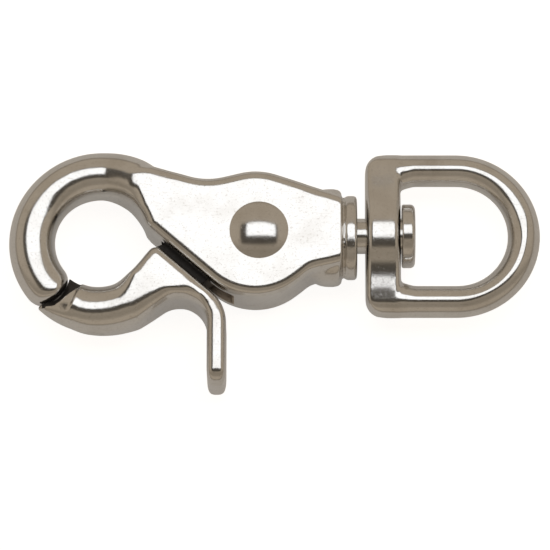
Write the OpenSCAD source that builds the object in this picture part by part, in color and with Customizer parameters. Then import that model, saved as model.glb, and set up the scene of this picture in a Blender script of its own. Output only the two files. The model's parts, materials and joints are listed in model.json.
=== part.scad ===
// Swivel-eye trigger snap, lying flat: X runs from the hook to the eye, Z is the rivet's axis.
// The origin is the middle of the eye's round bow, on the swivel's axis.

/* [Hook] */
// Clear diameter inside the closed hook
hook_d = 15.7; // [14:0.1:17]
// Diameter of the round hook bar
bar_d = 7.8; // [6.6:0.1:8.6]
// Distance along the snap from the middle of the body to the middle of the hook
hook_reach = 26.1; // [25:0.1:29]
// How far the middle of the hook lies below the middle of the body
hook_drop = 0.55; // [0:0.05:1.5]
// Place where the hook's blunt tip begins, in degrees round the opening from the eye end
tip_angle = 218; // [206:1:222]
// Length of the hook's blunt tip
tip_l = 3.1; // [2:0.1:3.6]
// Gap between the tip and its seat in the jaw
seat_gap = 0.35; // [0.2:0.05:0.6]

/* [Body] */
// Thickness over the two cheeks
body_t = 12; // [10.5:0.1:14]
// Radius of the round body
body_r = 11.1; // [10:0.1:12]
// How far the middle of the round body lies below the swivel's axis
body_drop = 0.7; // [0:0.1:1.5]
// Rounding of the edges of the cheeks
edge_r = 1.8; // [1:0.1:2.4]
// Height of the back's waist above the middle of the body, between rivet and hook
waist_h = 9.2; // [8.6:0.1:10]
// Height of the cheeks' crest above the middle of the hook
crest_h = 12.5; // [11.6:0.05:13]
// Distance from the middle of the body to the end of the neck
neck_reach = 14.6; // [13.8:0.1:18]
// Height of the cheeks' flats at the neck
neck_flat_h = 11; // [9:0.1:12]
// Length of the neck's barrel
barrel_l = 5; // [4:0.1:6]
// Height of the neck's barrel
barrel_h = 16.6; // [15:0.1:18]
// Depth of the neck's barrel
barrel_depth = 11.8; // [10.4:0.1:11.9]
// How far the neck lies below the swivel's axis
neck_drop = 0.3; // [0:0.1:0.6]
// Slope of the body's lower edge towards the jaw, in degrees
shoulder_slope = 41; // [36:1:46]
// Width of the slot between the cheeks
slot_w = 5.2; // [4.8:0.1:6]

/* [Trigger jaw] */
// Thickness of the jaw's shoulder and of the trigger
jaw_t = 11.6; // [10:0.1:13]
// Gap between the jaw's shoulder and the cheeks
shoulder_gap = 1.4; // [0.8:0.1:2]
// Thickness of the jaw's nose at the tip's seat
nose_t = 4.6; // [3.6:0.1:6]
// Thickness of the finger trigger
trigger_w = 3.25; // [2.4:0.05:3.6]
// Distance of the trigger's end below the rivet
trigger_reach = 26.35; // [23:0.05:30]
// Distance of the trigger's far side from the rivet, along the snap
trigger_back = 5.5; // [4.8:0.1:6]
// Radius of the finger rest beside the trigger
finger_r = 4.6; // [3.6:0.1:5]
// Height of the finger rest's top below the rivet
finger_drop = 11.35; // [10.8:0.05:12.4]
// Slope of the jaw's lower edge up to the finger rest, in degrees
finger_slope = 37; // [32:1:42]
// Radius of the tongue's hub round the rivet
hub_r = 6.4; // [6:0.1:7]
// Width of the tongue from the rivet to its edge on the hook's side
tongue_left = 5; // [4:0.1:5.5]
// Width of the tongue from the rivet to its edge on the trigger's side
tongue_right = 4; // [3.5:0.1:5]
// Clearance between the tongue and each cheek
tongue_gap = 0.2; // [0.1:0.05:0.3]
// Angle through which the jaw opens
open_angle = 22; // [15:1:24]

/* [Rivet and spring] */
// Distance along the snap from the middle of the body to the rivet
rivet_ahead = 0.6; // [0:0.1:1]
// Height of the rivet above the middle of the body
rivet_rise = 0.2; // [0:0.1:0.5]
// Diameter of the rivet's shank
rivet_d = 4.6; // [4:0.1:5]
// Diameter of the rivet's domed heads
rivet_head_d = 9.9; // [8:0.1:11]
// Height of the rivet's domed heads
rivet_head_h = 1.6; // [1.2:0.1:2.4]
// Running clearance of the jaw on the rivet, on the radius
pivot_fit = 0.06; // [0.03:0.01:0.1]
// Diameter of the spring's wire
wire_d = 0.7; // [0.5:0.05:0.75]
// Radius of the spring's coil, to the middle of the wire
coil_r = 3.6; // [3.4:0.05:3.8]
// Gap between the coil's turns
coil_gap = 0.45; // [0.42:0.01:0.5]
// Whole turns of the coil, besides the part turn between its legs
coil_turns = 2; // [1:1:2]

/* [Swivel] */
// Length of the collar at the end of the neck
collar_l = 2.6; // [2:0.1:3.5]
// Height of the collar
collar_h = 14.5; // [11:0.1:15]
// Depth of the collar
collar_depth = 11.2; // [9:0.1:11.8]
// Diameter of the swivel stud
stud_d = 6; // [5:0.1:6.6]
// How deep the stud sits in the neck
stud_seat = 9; // [7:0.1:9.4]
// Diameter of the stud's head
stud_head_d = 10.8; // [9:0.1:12]
// Thickness of the stud's head
stud_head_t = 2.2; // [1.6:0.1:3]
// Gap between the collar and the eye
swivel_gap = 1.4; // [0.8:0.1:2]
// Gap between the eye and the stud's head
head_gap = 0.2; // [0.1:0.05:0.4]
// Running clearance of the eye on the stud, on the radius
swivel_fit = 0.1; // [0.05:0.01:0.15]

/* [Eye] */
// Clear width of the eye
eye_w = 17.5; // [15:0.1:20]
// Diameter of the eye's round bar
eye_bar_d = 5.5; // [4.5:0.1:6]
// Distance from the boss to the middle of the bow
eye_leg_l = 9.4; // [8:0.1:14]
// Length of the bored boss along the stud
boss_l = 6; // [5:0.1:8]
// Depth of the boss at the stud
boss_depth = 11.2; // [10:0.1:12.5]
// Radius of the boss's rounded front and back
boss_crown_r = 9.5; // [8.5:0.1:12]
// Rounding of the eye's outer corners, beside the boss
eye_corner_r = 3.4; // [2.6:0.1:4]

/* [Hidden] */
$fn = 64;
nickel = [0.80, 0.77, 0.72];
spring_steel = [0.55, 0.55, 0.56];
// Spare length of a cut past the face that it goes through
past = 1;

// Places along the snap, from the eye back to the hook
boss_x = -eye_leg_l - boss_l;
collar_x = boss_x - swivel_gap;
neck_x = collar_x - collar_l;
body_mid = [neck_x - neck_reach, -body_drop];
pivot = body_mid + [rivet_ahead, rivet_rise];
hook = body_mid - [hook_reach, hook_drop];

bar_r = bar_d / 2;
hook_inner_r = hook_d / 2;
hook_mid_r = hook_inner_r + bar_r;
hook_outer_r = hook_inner_r + bar_d;
tip = hook + hook_mid_r * [cos(tip_angle), sin(tip_angle)];
eye_mid_r = (eye_w + eye_bar_d) / 2;
tongue_t = slot_w - 2 * tongue_gap;

function unit(v) = v / norm(v);
function polar(r, angle) = r * [cos(angle), sin(angle)];
function smooth(x) = let (t = min(max(x, 0), 1)) t * t * (3 - 2 * t);
function mix(a, b, t) = a + (b - a) * t;
function flat(list) = [for (part = list) for (item = part) item];
function level(point, z) = [point.x, point.y, z];

// Where the line through p along d crosses the line through q along e
function crossing(p, d, q, e) = p + d * cross(q - p, e) / cross(d, e);

// One rounded corner at b of an outline that runs a, b, c: pairs of a point and its outward normal
corner_step = 12;
function corner(a, b, c, r) =
    let (
        u = unit(a - b),
        v = unit(c - b),
        half = acos(u * v) / 2,
        side = sign(cross(b - a, c - b)),
        middle = b + unit(u + v) * r / sin(half),
        start = b + u * r / tan(half) - middle,
        first = atan2(start.y, start.x),
        sweep = side * (180 - 2 * half),
        steps = ceil(abs(sweep) / corner_step)
    )
    [for (i = [0:steps]) let (n = polar(1, first + sweep * i / steps)) [middle + r * n, side * n]];

// Outline from corners given as [point, radius], anticlockwise
function outline(corners) =
    let (n = len(corners))
    flat([for (i = [0:n - 1])
        corner(corners[(i + n - 1) % n][0], corners[i][0], corners[(i + 1) % n][0], corners[i][1])]);

// Solid through a row of rings with as many points each, closed at both ends on a middle point
module skin(rings, first_middle, last_middle) {
    m = len(rings[0]);
    last = (len(rings) - 1) * m;
    sides = [for (i = [0:len(rings) - 2]) for (j = [0:m - 1])
        let (k = (j + 1) % m, low = i * m, high = low + m)
        each [[low + j, high + j, high + k], [low + j, high + k, low + k]]];
    first_end = [for (j = [0:m - 1]) [last + m, j, (j + 1) % m]];
    last_end = [for (j = [0:m - 1]) [last + m + 1, last + (j + 1) % m, last + j]];
    polyhedron(concat(flat(rings), [first_middle, last_middle]), concat(sides, first_end, last_end));
}

// Flat plate of an outline, with its edges rounded; every edge point is in sight of the middle point
edge_steps = 4;
module rounded_plate(edge, middle, t, r) {
    turns = [for (i = [0:edge_steps]) 90 * i / edge_steps];
    upper = [for (a = turns) [r * (1 - cos(a)), t / 2 - r + r * sin(a)]];
    lower = [for (i = [edge_steps:-1:0]) [upper[i][0], -upper[i][1]]];
    rings = [for (h = concat(lower, upper)) [for (e = edge) level(e[0] - h[0] * e[1], h[1])]];
    skin(rings, level(middle, -t / 2), level(middle, t / 2));
}

// Section of a bar between an inner and an outer point of its outline; square 2 is round, more is squarer
section_sides = 28;
function rounder(x, square) = sign(x) * pow(abs(x), 2 / square);
function section(inner, outer, half_t, square) =
    let (middle = (inner + outer) / 2, half_w = (outer - inner) / 2)
    [for (k = [0:section_sides - 1])
        let (a = 360 * k / section_sides)
        level(middle + half_w * rounder(cos(a), square), -half_t * rounder(sin(a), square))];

// Round plate on the XY plane, with its upper edge rounded
module rounded_disc(d, t, r) {
    rotate_extrude()
        difference() {
            square([d / 2, t]);
            translate([d / 2 - r, t - r])
                difference() {
                    square(r + past);
                    circle(r = r);
                }
        }
}

// Low dome on the XY plane
module dome(d, h) {
    ball_r = (pow(d / 2, 2) + pow(h, 2)) / (2 * h);
    rotate_extrude()
        intersection() {
            translate([0, h - ball_r])
                circle(r = ball_r);
            square([d / 2, h]);
        }
}

// Stands a shape made on the XY plane along the swivel's axis, with its base at x
module along_swivel(x) {
    translate([x, 0, 0])
        rotate([90, 0, 90])
            children();
}

// Shoulder of the body: the line that touches the round body on the jaw's side
shoulder_normal = polar(1, 270 - shoulder_slope);
shoulder_along = polar(1, 180 - shoulder_slope);
shoulder_foot = body_mid + body_r * shoulder_normal;
// Lower edge of the body towards the neck, which touches the same circle, and its easier slope at the neck
tail_slope = 38;
neck_slope = 18;
tail_corner_r = 3;
tail_foot = body_mid + polar(body_r, 270 + tail_slope);
tail_along = polar(1, tail_slope);
// Left edge of the cheeks, close beside the hook's opening
cheek_slope = 24.5;
cheek_setback = 0.1;
cheek_along = polar(1, 90 + cheek_slope);
cheek_foot = hook + polar(hook_inner_r + cheek_setback, cheek_slope);
// Crest of the cheeks beside the hook's bar: its distance along from the hook's middle, and its rounding
crest_ahead = 8.4;
crest_r = 6;
// Corner of the back: its distance along from the middle of the body, and its height above the round
back_ahead = 0.5;
back_rise = 0.25;
// Start of the hook's bar inside the body, and the ramp up to the cheeks, in degrees round the opening
arm_root = 20;
ramp_foot = 90;
ramp_top = 61;
// Where the bar has sunk back to its own thickness between the cheeks' faces
arm_sink = 25;
arm_steps = 40;
// How far the bar stays inside the cheeks' faces
ramp_inset = 0.03;
// Point inside the cheeks that sees all of their outline
body_middle = body_mid + [-hook_reach / 4, 1];

function body_edge() =
    let (
        neck_top = [neck_x, neck_flat_h / 2 - neck_drop],
        neck_low = [neck_x, -neck_flat_h / 2 - neck_drop],
        back_top = body_mid + [back_ahead, body_r + back_rise],
        waist = body_mid + [-hook_reach / 3, waist_h],
        crest = hook + [crest_ahead, crest_h],
        cheek_top = crossing(cheek_foot, cheek_along, crest, [1, 0]),
        shoulder = crossing(cheek_foot, cheek_along, shoulder_foot, shoulder_along),
        heel = crossing(shoulder_foot, shoulder_along, tail_foot, tail_along),
        tail = crossing(tail_foot, tail_along, neck_low, polar(1, neck_slope))
    )
    outline([
        [neck_low, edge_r],
        [neck_top, edge_r],
        [back_top, body_r],
        [waist, body_r],
        [crest, crest_r],
        [cheek_top, edge_r],
        [shoulder, edge_r],
        [heel, body_r],
        [tail, tail_corner_r]
    ]);

// Tongue of the jaw, from the rivet out to the shoulder, with the jaw shut
tongue_angle = 203;
tongue_root = 5;
tongue_l = body_r + shoulder_gap + tongue_root;
// Clearance of the tongue in the slot, at its edges
slot_gap = 0.3;

module tongue() {
    translate(level(pivot, -tongue_t / 2))
        linear_extrude(tongue_t) {
            circle(r = hub_r);
            rotate(tongue_angle)
                translate([0, -tongue_left])
                    square([tongue_l, tongue_left + tongue_right]);
        }
}

// Slot that lets the tongue swing from shut to open
module tongue_slot() {
    reach = 2 * body_r;
    shut_side = polar(tongue_left + slot_gap, tongue_angle - 90);
    open_side = polar(tongue_right + slot_gap, tongue_angle + open_angle + 90);
    translate(level(pivot, -slot_w / 2))
        linear_extrude(slot_w) {
            circle(r = hub_r + slot_gap);
            polygon([
                shut_side,
                shut_side + polar(reach, tongue_angle),
                open_side + polar(reach, tongue_angle + open_angle),
                open_side
            ]);
        }
}

module rivet_bore(fit) {
    translate(level(pivot, -body_t / 2 - past))
        cylinder(d = rivet_d + 2 * fit, h = body_t + 2 * past);
}

// The spring's coil climbs from the leg in the jaw to the leg in the body
pocket_gap = 0.1;
pocket_floor = 1.3;
pocket_z = pocket_floor - tongue_t / 2;
hub_wall = 1.4;
pocket_r = hub_r - hub_wall;
coil_low = pocket_z + pocket_gap + wire_d / 2;
coil_start = 282;
coil_end = 20;
coil_sweep = coil_end - coil_start + 360 * (coil_turns + 1);
coil_rise = (wire_d + coil_gap) * coil_sweep / 360;
leg_l = 7.5;
ring_step = 45;

function coil_point(a) =
    level(pivot + polar(coil_r, coil_start + a), coil_low + coil_rise * a / coil_sweep);

function coil_tangent(a) = level(polar(1, coil_start + a + 90), 0);

function spring_path() =
    let (steps = round(coil_sweep / ring_step))
    concat(
        [coil_point(0) - leg_l * coil_tangent(0)],
        [for (i = [0:steps]) coil_point(coil_sweep * i / steps)],
        [coil_point(coil_sweep) + leg_l * coil_tangent(coil_sweep)]
    );

wire_sides = 6;
function wire_ring(path, i) =
    let (
        before = path[max(i - 1, 0)],
        after = path[min(i + 1, len(path) - 1)],
        ahead = unit(after - before),
        aside = unit(cross([0, 0, 1], ahead)),
        up = cross(ahead, aside)
    )
    [for (k = [0:wire_sides - 1])
        let (a = 360 * k / wire_sides) path[i] + wire_d / 2 * (cos(a) * aside + sin(a) * up)];

// Room for a leg of the spring: a straight groove along it, starting on the coil
leg_gap = 0.25;
module leg_groove(a, side) {
    translate(coil_point(a))
        rotate([0, 0, coil_start + a + side * 90])
            rotate([0, 90, 0])
                cylinder(d = wire_d + 2 * leg_gap, h = leg_l + leg_gap);
}

// Blunt end of the hook's bar, grown by a gap all round, and the middle of its end face
tip_square = 3;
tip_ahead = polar(1, tip_angle + 90);
function tip_rings(gap) =
    [for (a = [0:15:75])
        let (
            middle = tip + tip_ahead * (tip_l + gap) * rounder(sin(a), tip_square),
            r = (bar_r + gap) * rounder(cos(a), tip_square),
            across = polar(r, tip_angle)
        )
        section(middle - across, middle + across, r, 2)];

function tip_end(gap) = level(tip + tip_ahead * (tip_l + gap), 0);

// Hook bar: it rises from a round bar to the cheeks' faces, then sinks slowly between them
function arm_half_t(a) =
    let (high = mix(bar_r, body_t / 2 - ramp_inset, min(max((ramp_foot - a) / (ramp_foot - ramp_top), 0), 1)))
    mix(high, bar_r, smooth((ramp_top - a) / (ramp_top - arm_sink)));

module hook_arm() {
    angles = [for (i = [0:arm_steps - 1]) mix(arm_root, tip_angle, i / arm_steps)];
    bar = [for (a = angles)
        section(hook + polar(hook_inner_r, a), hook + polar(hook_outer_r, a), arm_half_t(a), 2)];
    skin(concat(bar, tip_rings(0)), level(hook + polar(hook_mid_r, arm_root), 0), tip_end(0));
}

// Room for the hook's tip in the jaw's nose
module tip_seat() {
    rings = tip_rings(seat_gap);
    behind = -bar_d * tip_ahead;
    start = [for (point = rings[0]) point + level(behind, 0)];
    skin(concat([start], rings), level(tip + behind, 0), tip_end(seat_gap));
}

// Oval block of the neck along the swivel's axis
module neck_oval(x, l, h, depth) {
    translate([0, -neck_drop, 0])
        along_swivel(x)
            linear_extrude(l)
                scale([1, depth / h])
                    circle(d = h);
}

module hook_body() {
    color(nickel)
        difference() {
            union() {
                hook_arm();
                rounded_plate(body_edge(), body_middle, body_t, edge_r);
                neck_oval(neck_x - barrel_l, barrel_l, barrel_h, barrel_depth);
                neck_oval(neck_x - edge_r, collar_l + edge_r, collar_h, collar_depth);
            }
            tongue_slot();
            rivet_bore(0);
            along_swivel(collar_x - stud_seat)
                cylinder(d = stud_d, h = stud_seat + past);
            leg_groove(coil_sweep, 1);
        }
}

// The jaw's shoulder runs beside the body's, from the hook's opening down to the trigger
jaw_foot = shoulder_foot + shoulder_gap * shoulder_normal;
trigger_x = pivot.x - trigger_back;
jaw_heel = crossing(jaw_foot, shoulder_along, [trigger_x, 0], [0, 1]);
jaw_top_angle = 350;
// The nose starts past the beginning of the tip, so that it swings clear of it
nose_lead = 8;
jaw_start_angle = tip_angle + nose_lead;
jaw_last_angle = jaw_top_angle - 4;
jaw_top = crossing(jaw_foot, shoulder_along, hook, polar(1, jaw_top_angle));
finger = [trigger_x - trigger_w - finger_r, pivot.y - finger_drop - finger_r];
finger_start = finger + polar(finger_r, 90 + finger_slope);
finger_angle = 360 + atan2(finger_start.y - hook.y, finger_start.x - hook.x);
// Stretches of the jaw, in degrees round the opening: nose, round bar, then the widening shoulder
nose_end = 248;
swell_start = 265;
swell_end = 312;
jaw_steps = 30;

function jaw_inner(a) =
    a < jaw_top_angle ? hook + polar(hook_inner_r, a) : jaw_top;

function jaw_outer(a) =
    let (
        bar = hook + polar(hook_outer_r, a),
        rise = crossing(hook, polar(1, a), finger_start, polar(1, finger_slope)),
        t = (a - finger_angle) / (jaw_top_angle - finger_angle)
    )
    t > 0 ? mix(finger_start, jaw_heel, t) : norm(rise - hook) < hook_outer_r ? rise : bar;

function jaw_half_t(a) =
    let (nose = smooth((nose_end - a) / (nose_end - tip_angle)))
    mix(mix(bar_r, jaw_t / 2, smooth((a - swell_start) / (swell_end - swell_start))), nose_t / 2, nose);

// From a round bar to a flat shoulder
shoulder_square = 5;
function jaw_square(a) = mix(2, shoulder_square, smooth((a - swell_start) / (swell_end - swell_start)));

module jaw() {
    angles = [for (i = [0:jaw_steps]) mix(jaw_start_angle, jaw_last_angle, i / jaw_steps)];
    rings = [for (a = angles) section(jaw_inner(a), jaw_outer(a), jaw_half_t(a), jaw_square(a))];
    shoulder_rings = [for (a = [0:30:90])
        let (back = edge_r * (1 - sin(a)) * shoulder_normal, half_t = jaw_t / 2 - edge_r * (1 - cos(a)))
        section(jaw_top + back, jaw_heel + back, half_t, shoulder_square)];
    skin(concat(rings, shoulder_rings),
        level(hook + polar(hook_mid_r, jaw_start_angle), 0), level((jaw_top + jaw_heel) / 2, 0));
}

// Round ends of the trigger's plate, and the rounding of its edges
trigger_end_r = 0.48 * trigger_w;
trigger_edge_r = 0.37 * trigger_w;

module trigger() {
    top = body_mid.y - body_r - shoulder_gap;
    low = pivot.y - trigger_reach;
    edge = outline([
        [[trigger_x - trigger_w, low], trigger_end_r],
        [[trigger_x, low], trigger_end_r],
        [[trigger_x, top], trigger_end_r],
        [[trigger_x - trigger_w, top], trigger_end_r]
    ]);
    rounded_plate(edge, [trigger_x - trigger_w / 2, (top + low) / 2], jaw_t, trigger_edge_r);
}

module trigger_jaw() {
    color(nickel)
        difference() {
            union() {
                jaw();
                trigger();
                tongue();
            }
            tip_seat();
            translate(level(finger, -jaw_t / 2 - past))
                cylinder(r = finger_r, h = jaw_t + 2 * past);
            rivet_bore(pivot_fit);
            translate(level(pivot, pocket_z))
                cylinder(r = pocket_r, h = tongue_t);
            leg_groove(0, -1);
            spring_notch();
        }
}

// Gap in the hub's wall, in which the spring's fixed leg stands while the jaw swings
notch_spare = 16;
module spring_notch() {
    leg_out = coil_end + acos(coil_r / hub_r);
    leg_in = coil_end + acos(coil_r / pocket_r);
    translate(level(pivot, pocket_z))
        rotate([0, 0, leg_in - open_angle - notch_spare])
            rotate_extrude(angle = leg_out - leg_in + open_angle + 2 * notch_spare)
                translate([pocket_r - past, 0])
                    square([hub_r - pocket_r + 2 * past, tongue_t]);
}

module pivot_rivet() {
    color(nickel) {
        translate(level(pivot, -body_t / 2))
            cylinder(d = rivet_d, h = body_t);
        for (side = [0, 180])
            translate(pivot)
                rotate([side, 0, 0])
                    translate([0, 0, body_t / 2])
                        dome(rivet_head_d, rivet_head_h);
    }
}

module torsion_spring() {
    path = spring_path();
    last = len(path) - 1;
    color(spring_steel)
        skin([for (i = [0:last]) wire_ring(path, i)], path[0], path[last]);
}

head_edge_r = 0.8;
module swivel_stud() {
    head_x = boss_x + boss_l + head_gap;
    color(nickel) {
        along_swivel(collar_x - stud_seat)
            cylinder(d = stud_d, h = head_x - collar_x + stud_seat);
        along_swivel(head_x)
            rounded_disc(stud_head_d, stud_head_t, head_edge_r);
    }
}

// Cross bar of the eye: how far it stands out over the legs, how much thicker it is, and how far it stays
// inside the faces of the boss
cross_proud = 0.1;
cross_extra_t = 0.7;
cross_inset = 0.15;
cross_edge_r = 1.2;

module eye_boss() {
    half_h = eye_mid_r + eye_bar_d / 2 + cross_proud;
    crown_offset = boss_crown_r - boss_depth / 2;
    edge = outline([
        [[boss_x + cross_inset, -half_h], eye_corner_r],
        [[boss_x + boss_l - cross_inset, -half_h], cross_edge_r],
        [[boss_x + boss_l - cross_inset, half_h], cross_edge_r],
        [[boss_x + cross_inset, half_h], eye_corner_r]
    ]);
    rounded_plate(edge, [boss_x + boss_l / 2, 0], eye_bar_d + cross_extra_t, cross_edge_r);
    along_swivel(boss_x)
        linear_extrude(boss_l)
            intersection() {
                translate([0, crown_offset])
                    circle(r = boss_crown_r);
                translate([0, -crown_offset])
                    circle(r = boss_crown_r);
            }
}

module swivel_eye() {
    leg_start = boss_x + boss_l / 2;
    color(nickel)
        difference() {
            union() {
                rotate([0, 0, -90])
                    rotate_extrude(angle = 180)
                        translate([eye_mid_r, 0])
                            circle(d = eye_bar_d);
                for (side = [-1, 1])
                    translate([0, side * eye_mid_r, 0])
                        along_swivel(leg_start)
                            cylinder(d = eye_bar_d, h = -leg_start);
                eye_boss();
            }
            along_swivel(boss_x - past)
                cylinder(d = stud_d + 2 * swivel_fit, h = boss_l + 2 * past);
        }
}

hook_body();
trigger_jaw();
pivot_rivet();
torsion_spring();
swivel_stud();
swivel_eye();
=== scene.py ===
"""Swivel-eye trigger snap: polished nickel castings, riveted together, on a white table."""
import json
import math

import bmesh
import bpy
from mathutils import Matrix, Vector


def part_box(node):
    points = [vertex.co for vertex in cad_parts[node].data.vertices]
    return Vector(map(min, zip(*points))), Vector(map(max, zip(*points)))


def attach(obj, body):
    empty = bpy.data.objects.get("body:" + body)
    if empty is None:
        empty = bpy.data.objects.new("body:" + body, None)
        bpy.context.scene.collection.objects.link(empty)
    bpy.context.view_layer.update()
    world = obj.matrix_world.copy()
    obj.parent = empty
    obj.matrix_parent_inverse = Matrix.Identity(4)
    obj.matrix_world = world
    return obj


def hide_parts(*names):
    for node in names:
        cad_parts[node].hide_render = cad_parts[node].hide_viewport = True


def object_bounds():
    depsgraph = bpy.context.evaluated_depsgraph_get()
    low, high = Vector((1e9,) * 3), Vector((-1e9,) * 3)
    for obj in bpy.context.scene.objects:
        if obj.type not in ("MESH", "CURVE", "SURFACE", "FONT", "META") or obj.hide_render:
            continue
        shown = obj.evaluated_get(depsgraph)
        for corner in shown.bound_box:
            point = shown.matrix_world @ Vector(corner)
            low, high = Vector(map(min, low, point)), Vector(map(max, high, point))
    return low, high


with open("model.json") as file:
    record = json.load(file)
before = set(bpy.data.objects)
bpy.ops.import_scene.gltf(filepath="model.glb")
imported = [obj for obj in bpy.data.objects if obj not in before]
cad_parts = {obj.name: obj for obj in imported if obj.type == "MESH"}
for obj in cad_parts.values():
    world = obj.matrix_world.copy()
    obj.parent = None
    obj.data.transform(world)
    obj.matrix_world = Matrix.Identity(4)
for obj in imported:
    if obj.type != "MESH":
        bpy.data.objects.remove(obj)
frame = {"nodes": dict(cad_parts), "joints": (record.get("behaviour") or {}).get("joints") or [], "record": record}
cad_low, cad_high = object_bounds()

# The snap's lengths are written in millimetres, and turned into metres where a vertex is placed
MM = 0.001


def place_of(rows, name):
    return Vector(next(row["pos_m"] for row in rows if row["name"] == name)) / MM


# Places taken from the frame
PIVOT = place_of(frame["joints"], "trigger_pivot")
HOOK = place_of(frame["record"]["mounts"], "hook_bow")
STUD_LOW, STUD_HIGH = (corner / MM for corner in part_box("swivel_stud"))
EYE_LOW, EYE_HIGH = (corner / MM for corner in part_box("swivel_eye"))

# Hook and body casting
BAR_R = 3.9
HOOK_INNER_R = 7.85
HOOK_MID_R = HOOK_INNER_R + BAR_R
HOOK_OUTER_R = HOOK_INNER_R + 2 * BAR_R
TIP_ANGLE = 218
TIP_LENGTH = 3.1
TIP_SQUARE = 2.1
TIP_FALL = 0.8
ARM_ROOT_ANGLE = 15
RAMP_FOOT_ANGLE = 90
RAMP_TOP_ANGLE = 61
RAMP_EASE = 0.15
ROOT_SWELL = 0.5
ROOT_SWELL_ANGLE = 150
CHEEK_EASE_ANGLE = 33
CHEEK_SIDE_R = 2.0
BODY_T = 12.0
BODY_R = 11.1
BODY_MIDDLE = Vector((-34.0, -0.7, 0))
BACK_TOP = Vector((-33.5, 10.65, 0))
WAIST = Vector((-42.3, 8.5, 0))
CREST_AHEAD = 8.4
CREST_H = 12.5
CREST_R = 6
TAIL_SLOPE = 38
TAIL_R = 3
CHEEK_SLOPE = 24.5
CHEEK_INSET = 0.1
CHEEK_EDGE_R = 1.8
NECK_LOW = -5.7
NECK_HIGH = 5.35
NECK_SLOPE = 14
NECK_X = -19.4
BARREL_L = 5
BARREL_H = 16.6
BARREL_DEPTH = 11.9
COLLAR_L = 2.6
COLLAR_END_X = NECK_X + COLLAR_L
COLLAR_H = 14.5
COLLAR_DEPTH = 11.2
NECK_DROP = 0.3
SLOT_W = 5.2
SLOT_GAP = 0.2
HUB_GAP = 0.3

# Trigger jaw
OPEN_ANGLE = 22
JAW_T = 11.6
JAW_EDGE_R = 1.4
SHOULDER_GAP = 1.4
SHOULDER_SLOPE = 41
TRIGGER_W = 3.25
TRIGGER_X = -38.9
TRIGGER_LOW = -26.85
TRIGGER_END_R = 2.8
TRIGGER_TOP_R = 7
# The trigger's bar starts this far under the finger rest, and the plate ends this far above the tip
TRIGGER_BAR_START = 5
TRIGGER_PLATE_END = 6
FINGER_R = 4.6
FINGER_SLOPE = 37
FINGER_TOP = -11.85
TONGUE_ANGLE = 203
TONGUE_RIGHT = 4
TONGUE_LEFT = 5
TONGUE_T = 4.8
TONGUE_SUNK = 5
HUB_R = 6.4
STEP_ANGLE = 247
NOSE_ANGLE = 229
STEP_DROP = 0.5
NOSE_T = 2.4
NOSE_START_ANGLE = TIP_ANGLE + 9
NOSE_ROOT_ANGLE = STEP_ANGLE + 4
NOSE_INSET = 0.3
NOSE_SQUARE = 2.2
SWELL_START = 252
FLAT_START = 283
SWELL_END = 312
JAW_SWELL = 0.3
JAW_SWELL_ANGLE = 15
JAW_ROUND_R = 1.05 * BAR_R
JAW_BAR_END = 338
FINGER_EDGE_R = 2.8
TRIGGER_EDGE_R = 1.35
NOSE_LEAN = -0.12
SEAT_GAP = 0.15
SEAT_BACK = 6
MOUTH_GAP = 0.9
MOUTH_RISE = 4.8
POCKET_R = 5.0
POCKET_Z = -1.1

# Rivet
RIVET_R = 2.3
RIVET_HEAD_R = 4.95
RIVET_HEAD_H = 1.6
RIVET_GAP = 0.06

# Swivel
STUD_R = 3
STUD_HEAD_R = STUD_HIGH.y
STUD_HEAD_T = 2.2
STUD_BACK_R = 0.3
STUD_FRONT_R = 0.8
STUD_GAP = 0.1
EYE_BAR_R = 2.75
EYE_MID_R = EYE_HIGH.x - EYE_BAR_R
BOSS_L = 6
BOSS_X = EYE_LOW.x
BOSS_DEPTH = EYE_HIGH.z - EYE_LOW.z

# How far a bar that runs into a flat stays under it, and the least flat between two rounded edges
SUNK = 0.02
LEAST_FLAT = 0.01

# Skin of the castings: grain sizes, rounds of polish all over and at the joins, and how soon those are full
BODY_GRAIN = 0.23
FINE_GRAIN = 0.2
POLISH_ROUNDS = 8
BLEND_ROUNDS = 40
BLEND_GAIN = 1.6


def cos(angle):
    return math.cos(math.radians(angle))


def sin(angle):
    return math.sin(math.radians(angle))


def polar(r, angle):
    return Vector((r * cos(angle), r * sin(angle), 0))


def mix(a, b, t):
    return a + (b - a) * t


def smooth(t):
    t = min(max(t, 0), 1)
    return t * t * (3 - 2 * t)


def steps(first, last, count):
    return [mix(first, last, i / count) for i in range(count + 1)]


def crossing(p, d, q, e):
    """Where the line through p along d crosses the line through q along e."""
    gap = q - p
    return p + d * ((gap.x * e.y - gap.y * e.x) / (d.x * e.y - d.y * e.x))


# Solids through rings

def loft(rings):
    """A solid through a row of rings: a disc whose face is extruded from each ring to the next."""
    bpy.ops.object.select_all(action="DESELECT")
    bpy.ops.mesh.primitive_circle_add(vertices=len(rings[0]), fill_type="NGON")
    piece = bpy.context.object
    bpy.ops.object.mode_set(mode="EDIT")
    bpy.ops.mesh.select_mode(type="FACE")
    bpy.ops.mesh.select_all(action="SELECT")
    rim = list(range(len(rings[0])))
    for i, ring in enumerate(rings):
        if i:
            bpy.ops.mesh.extrude_region_move()
        mesh = bmesh.from_edit_mesh(piece.data)
        mesh.verts.ensure_lookup_table()
        if i:
            rim = [next(e.other_vert(mesh.verts[v]).index for e in mesh.verts[v].link_edges
                        if e.other_vert(mesh.verts[v]).select) for v in rim]
        for v, point in zip(rim, ring):
            mesh.verts[v].co = Vector(point) * MM
        bmesh.update_edit_mesh(piece.data)
    bpy.ops.mesh.select_all(action="SELECT")
    bpy.ops.mesh.normals_make_consistent(inside=False)
    bpy.ops.object.mode_set(mode="OBJECT")
    return piece


def rounded(cosine, square):
    return math.copysign(abs(cosine) ** (2 / square), cosine)


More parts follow.
